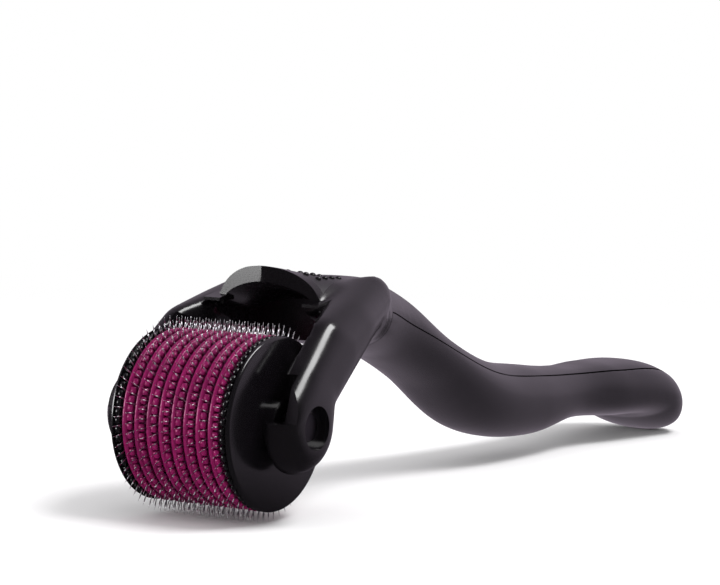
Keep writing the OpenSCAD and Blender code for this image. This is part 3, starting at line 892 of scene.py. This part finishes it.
def parting_form(grow):
    """Everything below the parting line behind the seam. It is grown upwards and forwards by grow, in mm."""
    rings = []
    for i, row in enumerate(stations_curve()[CUTS * SEAM:]):
        x, z, half, rise, depth, share, along_x, along_z = row
        reach, low = half + PARTING_REACH, -depth - PARTING_REACH
        if i == 0:
            x -= grow
        high = share * (rise if share > 0 else depth) + grow
        rings.append([(x - along_z * v, y, z + along_x * v)
                      for y, v in ((reach, high), (-reach, high), (-reach, low), (reach, low))])
    rings.append([(x + along_x * PARTING_END, y, z + along_z * PARTING_END) for x, y, z in rings[-1]])
    return loft("parting", rings)


def combine(obj, tool, operation="DIFFERENCE"):
    """Fast boolean of two closed meshes. The tool is deleted."""
    modifier = obj.modifiers.new("Combine", "BOOLEAN")
    modifier.operation = operation
    modifier.solver = "MANIFOLD"
    modifier.object = tool
    apply_modifiers(obj)
    bpy.data.objects.remove(tool)


def copy_of(obj, name, shift=(0, 0, 0)):
    """A separate copy of a mesh object, with its mesh moved by shift in mm."""
    twin = scene_object(name, obj.data.copy())
    twin.data.transform(Matrix.Translation(Vector(shift) * MM))
    return twin


def even_mesh(obj, voxel, passes):
    """Even quads over a closed form, smoothed so that its parts flow together."""
    remesh = obj.modifiers.new("Even quads", "REMESH")
    remesh.mode = "VOXEL"
    remesh.voxel_size = voxel
    blend = obj.modifiers.new("Blend", "SMOOTH")
    blend.factor = BLEND_FACTOR
    blend.iterations = passes
    apply_modifiers(obj)


def whole_handle(sizes):
    """Handle, fork arms and bridge in one closed form, before it is bored and split."""
    form = handle_form(sizes.squareness)
    brow = brow_form()
    for side in (1, -1):
        for part in arm_forms(side):
            combine(brow, copy_of(part, "limit"))
            combine(form, part, "UNION")
    combine(form, dish_form())
    even_mesh(form, sizes.voxel, sizes.blend_passes)
    combine(form, trim_form())
    combine(form, brow)
    combine(form, hollow_form())
    for side in (1, -1):
        combine(form, across("tab", TAB_SECTION, *(side * y for y in TAB_ACROSS)), "UNION")
    combine(form, bore("room", TIP_RADIUS + TIP_ROOM, -ARM_INNER, ARM_INNER))
    return form


def bore_boss(form, side):
    """Cuts the bearing, the window and the axle's slot into the boss of one arm."""
    inner, window = ARM_INNER - OVER, ARM_OUTER - WINDOW_DEPTH
    combine(form, bore("bearing", BEARING_RADIUS, side * inner, side * (ARM_OUTER - BEARING_END)))
    combine(form, bore("window", WINDOW_RADIUS, side * window, side * (ARM_OUTER + OVER)))
    front, wall = -BOSS_RADIUS - SLOT_FRONT, window - BEARING_WALL
    outline = [(front, side * inner), (front, side * wall),
               (BEARING_RADIUS, side * wall), (BEARING_RADIUS, side * inner)]
    combine(form, prism("slot", outline, SLOT_LOW, SLOT_HEIGHT))


def split_pad(form):
    """Takes the finger pad out of the bridge, in a layer of even thickness, and returns it."""
    outline = [*PAD_OUTLINE, *[(x, -y) for x, y in PAD_OUTLINE[::-1]]]
    pad = copy_of(form, "pad_moulding")
    under = copy_of(form, "under", (0, 0, -PAD_THICK))
    combine(pad, prism("pad_prism", outline, 0, ABOVE_ALL), "INTERSECT")
    combine(pad, copy_of(under, "under_copy"))
    recess = prism("recess", outline, RECESS_LOW, ABOVE_ALL)
    combine(recess, under)
    combine(form, recess)
    return pad


class ROLLER_OT_handle(bpy.types.Operator):
    """Builds the two handle mouldings and the finger pad"""
    bl_idname = "roller.handle"
    bl_label = "Handle"

    def execute(self, context):
        sizes, finishes = context.scene.handle_sizes, context.scene.roller_finishes
        form = whole_handle(sizes)
        for side in (1, -1):
            bore_boss(form, side)
        pad = split_pad(form)
        lower = copy_of(form, "lower_moulding")
        combine(lower, parting_form(0), "INTERSECT")
        combine(form, parting_form(sizes.part_gap / MM * 2))
        form.name = "upper_moulding"
        shell = moulded_abs("Gloss black ABS", finishes.shell, SHELL_ROUGHNESS)
        satin = moulded_abs("Satin black ABS", finishes.pad, PAD_ROUGHNESS)
        for obj in (form, lower, pad):
            smooth(obj, MOULDING_SMOOTH)
        run_group(pad, dots_tree(), {
            "Pitch": BUMP_PITCH * MM, "Radius": BUMP_RADIUS * MM, "Rows": BUMP_ROWS, "Margin": BUMP_MARGIN,
            "Centre": tuple(AXLE + Vector(BUMP_CENTRE) * MM), "Material": satin})
        finish_piece(form, "handle", shell, "upper_shell")
        finish_piece(lower, "handle", shell, "lower_shell")
        finish_piece(pad, "handle", satin, "finger_pad")
        return {"FINISHED"}


# ---------------------------------------------------------------- floor, lights and camera

# Soft lights: name, place from the axle, size in metres, power in watts
SOFTBOXES = (
    ("top softbox", (0.08, -0.24, 0.42), (0.3, 0.16), 1.8),
    ("side softbox", (-0.24, 0.42, 0.05), (0.3, 0.18), 1.6),
)
# What gloss mirrors of the tent: direction, cosines where a panel begins and is full, and its level
MIRRORED = (
    ((0.8, 0, 0.6), 0.3, 0.95, 0.42),
    ((-0.35, 0.9, 0.1), 0.6, 0.95, 0.4),
    ((0.85, -0.5, 0), 0.6, 1, 0.24),
)
# What gloss mirrors of the floor: places along it and the level at each, from the drum's side to the tip's
FLOOR_LEVELS = ((-0.05, 0.05), (-0.02, 0.26), (0.02, 0.36), (0.08, 0.42), (0.2, 0.48))
DARK_LEVEL = 0.03
TENT_TINT = "#f6e6fa"
WHITE = "#ffffff"
# Light of the world on dull surfaces, and the level that the background is seen at
FILL_LEVEL = 0.9
WHITE_LEVEL = 1.0
# Half the floor's side, how dull it is, and where it fades to the white background, from its middle in metres
FLOOR_HALF = 2
FLOOR_ROUGHNESS = 0.8
FLOOR_FADE = (0.12, 0.34)
# Camera: lens and sensor in mm, turns in degrees, distance in metres, and its target in mm from the axle
LENS = 146.429
SENSOR = 36
AZIMUTH = -58.263
ELEVATION = 4.607
ROLL = 1.502
DISTANCE = 0.394637
TARGET = (32.84, 0, 14.052)


def light_tent():
    """World: white to the camera, an even fill for dull surfaces, and a dim tent with panels for gloss."""
    world = bpy.data.worlds.new("Light tent")
    world.use_nodes = True
    tree = world.node_tree
    tree.nodes.clear()
    path = add(tree, "ShaderNodeLightPath").outputs
    look = add(tree, "ShaderNodeTexCoord").outputs["Generated"]
    level = DARK_LEVEL
    for toward, start, end, amount in MIRRORED:
        along = add(tree, "ShaderNodeVectorMath", {
            0: look, 1: Vector(toward).normalized()}, operation="DOT_PRODUCT")
        panel = add(tree, "ShaderNodeMapRange", {
            "Value": along.outputs["Value"], "From Min": start, "From Max": end, "To Max": amount},
            interpolation_type="SMOOTHSTEP")
        level = add(tree, "ShaderNodeMath", {0: level, 1: panel.outputs["Result"]}).outputs["Value"]
    for ray, strength in (("Is Diffuse Ray", FILL_LEVEL), ("Is Camera Ray", WHITE_LEVEL)):
        level = add(tree, "ShaderNodeMix", {0: path[ray], 2: level, 3: strength}).outputs["Result"]
    tint = add(tree, "ShaderNodeMix", {
        "Factor": path["Is Glossy Ray"], MIX_FIRST: linear(WHITE), MIX_SECOND: linear(TENT_TINT)},
        data_type="RGBA")
    sky = add(tree, "ShaderNodeBackground", {"Color": tint.outputs[MIX_RESULT], "Strength": level})
    out = add(tree, "ShaderNodeOutputWorld")
    tree.links.new(sky.outputs["Background"], out.inputs["Surface"])
    return world


def pale_floor(base):
    """Floor that keeps shadows, fades to the white background, and looks dim in gloss."""
    material, tree, surface, place = shader("Pale floor", **{
        "Base Color": linear(base), "Roughness": FLOOR_ROUGHNESS})
    reach = add(tree, "ShaderNodeVectorMath", {0: place}, operation="LENGTH")
    far = add(tree, "ShaderNodeMapRange", {
        "Value": reach.outputs["Value"], "From Min": FLOOR_FADE[0], "From Max": FLOOR_FADE[1]},
        interpolation_type="SMOOTHSTEP")
    path = add(tree, "ShaderNodeLightPath").outputs
    seen = add(tree, "ShaderNodeMath", {
        0: far.outputs["Result"], 1: path["Is Camera Ray"]}, operation="MULTIPLY")
    along = add(tree, "ShaderNodeSeparateXYZ", {"Vector": place}).outputs["X"]
    level = FLOOR_LEVELS[0][1]
    for (x0, level0), (x1, level1) in zip(FLOOR_LEVELS, FLOOR_LEVELS[1:]):
        step = add(tree, "ShaderNodeMapRange", {
            "Value": along, "From Min": x0, "From Max": x1, "To Max": level1 - level0})
        level = add(tree, "ShaderNodeMath", {0: level, 1: step.outputs["Result"]}).outputs["Value"]
    dim = add(tree, "ShaderNodeEmission", {"Color": linear(TENT_TINT), "Strength": level})
    glow = add(tree, "ShaderNodeEmission", {"Color": linear(WHITE), "Strength": WHITE_LEVEL})
    shade = surface.outputs["BSDF"]
    for share, light in ((seen.outputs["Value"], glow), (path["Is Glossy Ray"], dim)):
        shade = add(tree, "ShaderNodeMixShader", {
            0: share, 1: shade, 2: light.outputs["Emission"]}).outputs["Shader"]
    output = next(node for node in tree.nodes if node.bl_idname == "ShaderNodeOutputMaterial")
    tree.links.new(shade, output.inputs["Surface"])
    return material


def softbox(name, place, target, size, power):
    """A rectangular area light that faces its target."""
    light = bpy.data.lights.new(name, "AREA")
    light.shape = "RECTANGLE"
    light.size, light.size_y = size
    light.energy = power
    obj = scene_object(name, light)
    obj.location = place
    obj.rotation_euler = (target - place).to_track_quat("-Z", "Y").to_euler()


def aimed_camera():
    """The camera, from its turns about the target."""
    data = bpy.data.cameras.new("camera")
    data.lens = LENS
    data.sensor_width = SENSOR
    camera = scene_object("camera", data)
    azimuth, elevation, roll = (math.radians(angle) for angle in (AZIMUTH, ELEVATION, ROLL))
    level = Vector((math.sin(azimuth), -math.cos(azimuth), 0))
    back = level * math.cos(elevation) + Vector((0, 0, math.sin(elevation)))
    right = Vector((math.cos(azimuth), math.sin(azimuth), 0))
    up = back.cross(right)
    right, up = right * math.cos(roll) + up * math.sin(roll), up * math.cos(roll) - right * math.sin(roll)
    target = AXLE + Vector(TARGET) * MM
    turn = Matrix((right, up, back)).transposed().to_4x4()
    camera.matrix_world = Matrix.Translation(target + back * DISTANCE) @ turn
    return camera


class ROLLER_OT_stage(bpy.types.Operator):
    """Adds the pale floor, the soft studio light and the camera"""
    bl_idname = "roller.stage"
    bl_label = "Stage"

    def execute(self, context):
        scene = context.scene
        scene.view_settings.view_transform = "Standard"
        scene.world = light_tent()
        corners = [(x * FLOOR_HALF, y * FLOOR_HALF, 0) for x, y in ((-1, -1), (1, -1), (1, 1), (-1, 1))]
        floor = mesh_object("floor", corners, [(0, 1, 2, 3)])
        floor.data.materials.append(pale_floor(scene.roller_finishes.floor))
        centre = Vector((AXLE.x, 0, AXLE.z))
        for name, shift, size, power in SOFTBOXES:
            softbox(name, centre + Vector(shift), centre, size, power)
        scene.camera = aimed_camera()
        return {"FINISHED"}


# ---------------------------------------------------------------- panel and registration


class ROLLER_PT_panel(bpy.types.Panel):
    """Lists the builder's operators"""
    bl_label = "Derma Roller"
    bl_idname = "ROLLER_PT_panel"
    bl_space_type = "VIEW_3D"
    bl_region_type = "UI"
    bl_category = "Derma Roller"

    def draw(self, context):
        for group in ("drum_sizes", "handle_sizes", "roller_finishes"):
            values = getattr(context.scene, group)
            for key in values.bl_rna.properties.keys():
                if key not in ("name", "rna_type"):
                    self.layout.prop(values, key)
        for operator in OPERATORS:
            self.layout.operator(operator.bl_idname)


OPERATORS = (
    ROLLER_OT_rings, ROLLER_OT_needles, ROLLER_OT_caps, ROLLER_OT_axle, ROLLER_OT_handle, ROLLER_OT_stage)
CLASSES = (DrumSizes, HandleSizes, Finishes, *OPERATORS, ROLLER_PT_panel)
GROUPS = (("drum_sizes", DrumSizes), ("handle_sizes", HandleSizes), ("roller_finishes", Finishes))


def register():
    """Registers the classes and hangs their settings on the scene."""
    for cls in CLASSES:
        bpy.utils.register_class(cls)
    for name, group in GROUPS:
        setattr(bpy.types.Scene, name, PointerProperty(type=group))


def unregister():
    """Undoes register."""
    for name, _ in GROUPS:
        delattr(bpy.types.Scene, name)
    for cls in reversed(CLASSES):
        bpy.utils.unregister_class(cls)


def main():
    """Builds the roller and its stage."""
    register()
    bpy.ops.roller.rings()
    bpy.ops.roller.needles()
    bpy.ops.roller.caps()
    bpy.ops.roller.axle()
    bpy.ops.roller.handle()
    bpy.ops.roller.stage()


if __name__ == "__main__":
    main()
